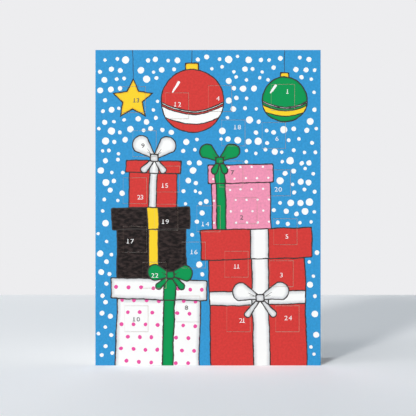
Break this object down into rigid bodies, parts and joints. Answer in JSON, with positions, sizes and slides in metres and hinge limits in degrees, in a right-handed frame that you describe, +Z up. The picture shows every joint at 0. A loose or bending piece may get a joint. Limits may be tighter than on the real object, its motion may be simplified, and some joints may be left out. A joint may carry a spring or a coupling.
{
  "type": "advent calendar card",
  "caption": "Folded card standing open like a book: a printed front with small numbered doors hinged at their left edges, a picture sheet glued behind it, and a plain back leaf.",
  "frame": {"origin": "on the ground, at the centre of the bounding box of the card standing open", "axes": "+Z up, along the card's height; the printed front faces -Y; the spine is at -X, on the left as seen from the front"},
  "size_m": [0.15, 0.1156, 0.21],
  "materials": {
    "printed_front": "satin offset print on white folding board",
    "printed_doors": "satin offset print on white folding board",
    "picture_print": "matt print on white paper",
    "plain_board": "uncoated white folding board"
  },
  "bodies": {
    "front": {"front_board": "printed_front", "picture_sheet": "picture_print", "spine_fold": "plain_board"},
    "back": {"back_leaf": "plain_board"},
    "door_01": {"door_01": "printed_doors"},
    "door_02": {"door_02": "printed_doors"},
    "door_03": {"door_03": "printed_doors"},
    "door_04": {"door_04": "printed_doors"},
    "door_05": {"door_05": "printed_doors"},
    "door_06": {"door_06": "printed_doors"},
    "door_07": {"door_07": "printed_doors"},
    "door_08": {"door_08": "printed_doors"},
    "door_09": {"door_09": "printed_doors"},
    "door_10": {"door_10": "printed_doors"},
    "door_11": {"door_11": "printed_doors"},
    "door_12": {"door_12": "printed_doors"},
    "door_13": {"door_13": "printed_doors"},
    "door_14": {"door_14": "printed_doors"},
    "door_15": {"door_15": "printed_doors"},
    "door_16": {"door_16": "printed_doors"},
    "door_17": {"door_17": "printed_doors"},
    "door_18": {"door_18": "printed_doors"},
    "door_19": {"door_19": "printed_doors"},
    "door_20": {"door_20": "printed_doors"},
    "door_21": {"door_21": "printed_doors"},
    "door_22": {"door_22": "printed_doors"},
    "door_23": {"door_23": "printed_doors"},
    "door_24": {"door_24": "printed_doors"}
  },
  "joints": [
    {"name": "back_fold", "type": "hinge", "parent": "front", "child": "back", "pos_m": [-0.07425, -0.05703, 0.105], "axis": [0, 0, 1], "range_deg": [-50, 130], "deforming": ["spine_fold"]},
    {"name": "crease_01", "type": "hinge", "parent": "front", "child": "door_01", "pos_m": [0.04185, -0.05778, 0.1785], "axis": [0, 0, -1], "range_deg": [0, 170]},
    {"name": "crease_02", "type": "hinge", "parent": "front", "child": "door_02", "pos_m": [0.01695, -0.05778, 0.1029], "axis": [0, 0, -1], "range_deg": [0, 170]},
    {"name": "crease_03", "type": "hinge", "parent": "front", "child": "door_03", "pos_m": [0.04095, -0.05778, 0.06111], "axis": [0, 0, -1], "range_deg": [0, 170]},
    {"name": "crease_04", "type": "hinge", "parent": "front", "child": "door_04", "pos_m": [0, -0.05778, 0.17766], "axis": [0, 0, -1], "range_deg": [0, 170]},
    {"name": "crease_05", "type": "hinge", "parent": "front", "child": "door_05", "pos_m": [0.0435, -0.05778, 0.08904], "axis": [0, 0, -1], "range_deg": [0, 170]},
    {"name": "crease_06", "type": "hinge", "parent": "front", "child": "door_06", "pos_m": [0.03585, -0.05778, 0.15309], "axis": [0, 0, -1], "range_deg": [0, 170]},
    {"name": "crease_07", "type": "hinge", "parent": "front", "child": "door_07", "pos_m": [0.0075, -0.05778, 0.12747], "axis": [0, 0, -1], "range_deg": [0, 170]},
    {"name": "crease_08", "type": "hinge", "parent": "front", "child": "door_08", "pos_m": [-0.02115, -0.05778, 0.03759], "axis": [0, 0, -1], "range_deg": [0, 170]},
    {"name": "crease_09", "type": "hinge", "parent": "front", "child": "door_09", "pos_m": [-0.05025, -0.05778, 0.14763], "axis": [0, 0, -1], "range_deg": [0, 170]},
    {"name": "crease_10", "type": "hinge", "parent": "front", "child": "door_10", "pos_m": [-0.05565, -0.05778, 0.03108], "axis": [0, 0, -1], "range_deg": [0, 170]},
    {"name": "crease_11", "type": "hinge", "parent": "front", "child": "door_11", "pos_m": [0.01095, -0.05778, 0.06741], "axis": [0, 0, -1], "range_deg": [0, 170]},
    {"name": "crease_12", "type": "hinge", "parent": "front", "child": "door_12", "pos_m": [-0.02865, -0.05778, 0.17283], "axis": [0, 0, -1], "range_deg": [0, 170]},
    {"name": "crease_13", "type": "hinge", "parent": "front", "child": "door_13", "pos_m": [-0.05745, -0.05778, 0.17703], "axis": [0, 0, -1], "range_deg": [0, 170]},
    {"name": "crease_14", "type": "hinge", "parent": "front", "child": "door_14", "pos_m": [-0.00765, -0.05778, 0.09765], "axis": [0, 0, -1], "range_deg": [0, 170]},
    {"name": "crease_15", "type": "hinge", "parent": "front", "child": "door_15", "pos_m": [-0.03465, -0.05778, 0.12411], "axis": [0, 0, -1], "range_deg": [0, 170]},
    {"name": "crease_16", "type": "hinge", "parent": "front", "child": "door_16", "pos_m": [-0.01755, -0.05778, 0.0735], "axis": [0, 0, -1], "range_deg": [0, 170]},
    {"name": "crease_17", "type": "hinge", "parent": "front", "child": "door_17", "pos_m": [-0.0567, -0.05778, 0.084], "axis": [0, 0, -1], "range_deg": [0, 170]},
    {"name": "crease_18", "type": "hinge", "parent": "front", "child": "door_18", "pos_m": [0.00885, -0.05778, 0.15477], "axis": [0, 0, -1], "range_deg": [0, 170]},
    {"name": "crease_19", "type": "hinge", "parent": "front", "child": "door_19", "pos_m": [-0.03585, -0.05778, 0.0987], "axis": [0, 0, -1], "range_deg": [0, 170]},
    {"name": "crease_20", "type": "hinge", "parent": "front", "child": "door_20", "pos_m": [0.03915, -0.05778, 0.12159], "axis": [0, 0, -1], "range_deg": [0, 170]},
    {"name": "crease_21", "type": "hinge", "parent": "front", "child": "door_21", "pos_m": [0.0123, -0.05778, 0.03108], "axis": [0, 0, -1], "range_deg": [0, 170]},
    {"name": "crease_22", "type": "hinge", "parent": "front", "child": "door_22", "pos_m": [-0.04365, -0.05778, 0.06006], "axis": [0, 0, -1], "range_deg": [0, 170]},
    {"name": "crease_23", "type": "hinge", "parent": "front", "child": "door_23", "pos_m": [-0.0567, -0.05778, 0.11634], "axis": [0, 0, -1], "range_deg": [0, 170]},
    {"name": "crease_24", "type": "hinge", "parent": "front", "child": "door_24", "pos_m": [0.04485, -0.05778, 0.03108], "axis": [0, 0, -1], "range_deg": [0, 170]}
  ]
}
